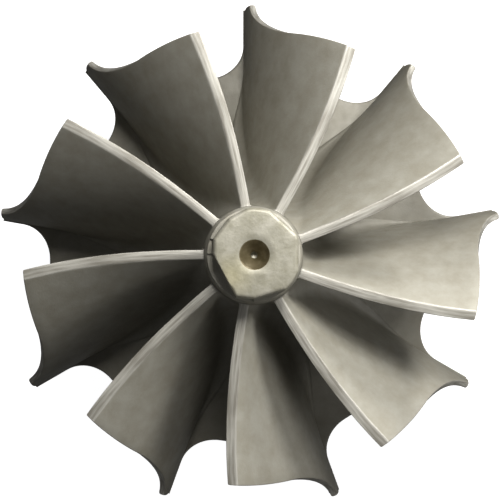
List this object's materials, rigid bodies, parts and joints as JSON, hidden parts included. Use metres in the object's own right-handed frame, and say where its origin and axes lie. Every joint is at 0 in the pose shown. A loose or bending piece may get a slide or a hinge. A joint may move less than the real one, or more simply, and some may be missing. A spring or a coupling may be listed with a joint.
{
  "type": "turbocharger turbine wheel",
  "caption": "Cast radial-inflow turbine wheel of a small turbocharger: curved blades on a scalloped disk, a centre-drilled nose and a weld stub at the back.",
  "frame": {"origin": "centre of the weld stub's flat rear face, on the wheel's axis", "axes": "+Z along the wheel's axis from the back towards the nose and the exhaust side, +X to the right and +Y up in the picture"},
  "size_m": [0.0534, 0.0526, 0.03],
  "materials": {
    "cast_alloy": "satin cast nickel alloy, blasted"
  },
  "bodies": {
    "root": {"turbine_wheel": "cast_alloy"}
  },
  "joints": []
}
